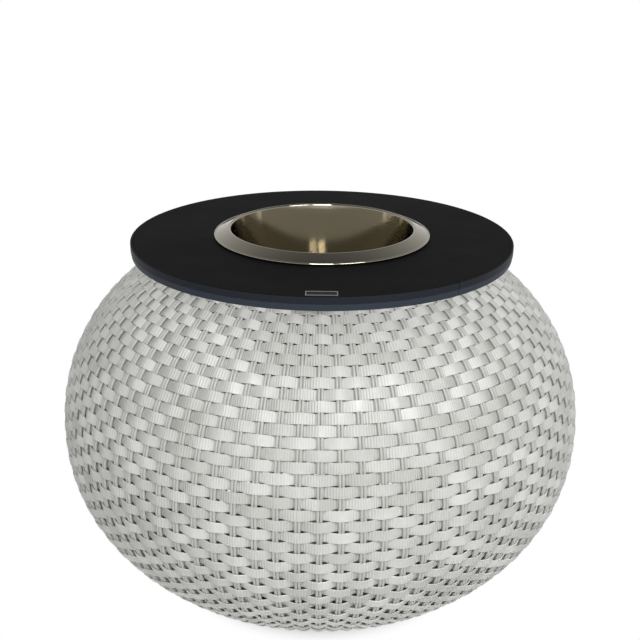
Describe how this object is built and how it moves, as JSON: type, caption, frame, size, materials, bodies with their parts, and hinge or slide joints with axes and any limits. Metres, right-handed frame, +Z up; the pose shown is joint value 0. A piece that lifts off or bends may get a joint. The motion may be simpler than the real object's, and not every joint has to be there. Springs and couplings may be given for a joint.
{
  "type": "ice bucket coffee table",
  "caption": "Low table with a squashed globe body of woven resin strands, a round black top and a stainless ice bucket that lifts out of its middle.",
  "frame": {"origin": "on the floor under the centre of the globe, at the undersides of the glides", "axes": "+Z up along the axis of the globe, top and bucket; -Y to the front, where the picture looks from; +X to the right"},
  "size_m": [0.562, 0.562, 0.3985],
  "materials": {
    "black_board": "matt black laminate board",
    "slate_band": "satin slate-black moulded edge strip",
    "stainless": "polished spun stainless steel",
    "resin_weave": "off-white woven resin strand, satin with fine ribbing",
    "aluminium": "plain mill aluminium",
    "zinc_screw": "zinc plated steel",
    "black_nylon": "moulded black nylon"
  },
  "bodies": {
    "table": {"top_board": "black_board", "edge_band": "slate_band", "woven_shell": "resin_weave", "frame_top_ring": "aluminium", "frame_belly_ring": "aluminium", "frame_base_ring": "aluminium", "frame_rib_1": "aluminium", "frame_rib_2": "aluminium", "frame_rib_3": "aluminium", "frame_rib_4": "aluminium", "frame_rib_5": "aluminium", "frame_rib_6": "aluminium", "frame_rib_7": "aluminium", "frame_rib_8": "aluminium", "top_screw_1": "zinc_screw", "top_screw_2": "zinc_screw", "top_screw_3": "zinc_screw", "top_screw_4": "zinc_screw", "glide_1": "black_nylon", "glide_2": "black_nylon", "glide_3": "black_nylon", "glide_4": "black_nylon"},
    "bucket": {"ice_bucket": "stainless"}
  },
  "joints": [
    {"name": "bucket_lift", "type": "slide", "parent": "table", "child": "bucket", "axis": [0, 0, 1], "range_m": [0, 0.22]}
  ]
}
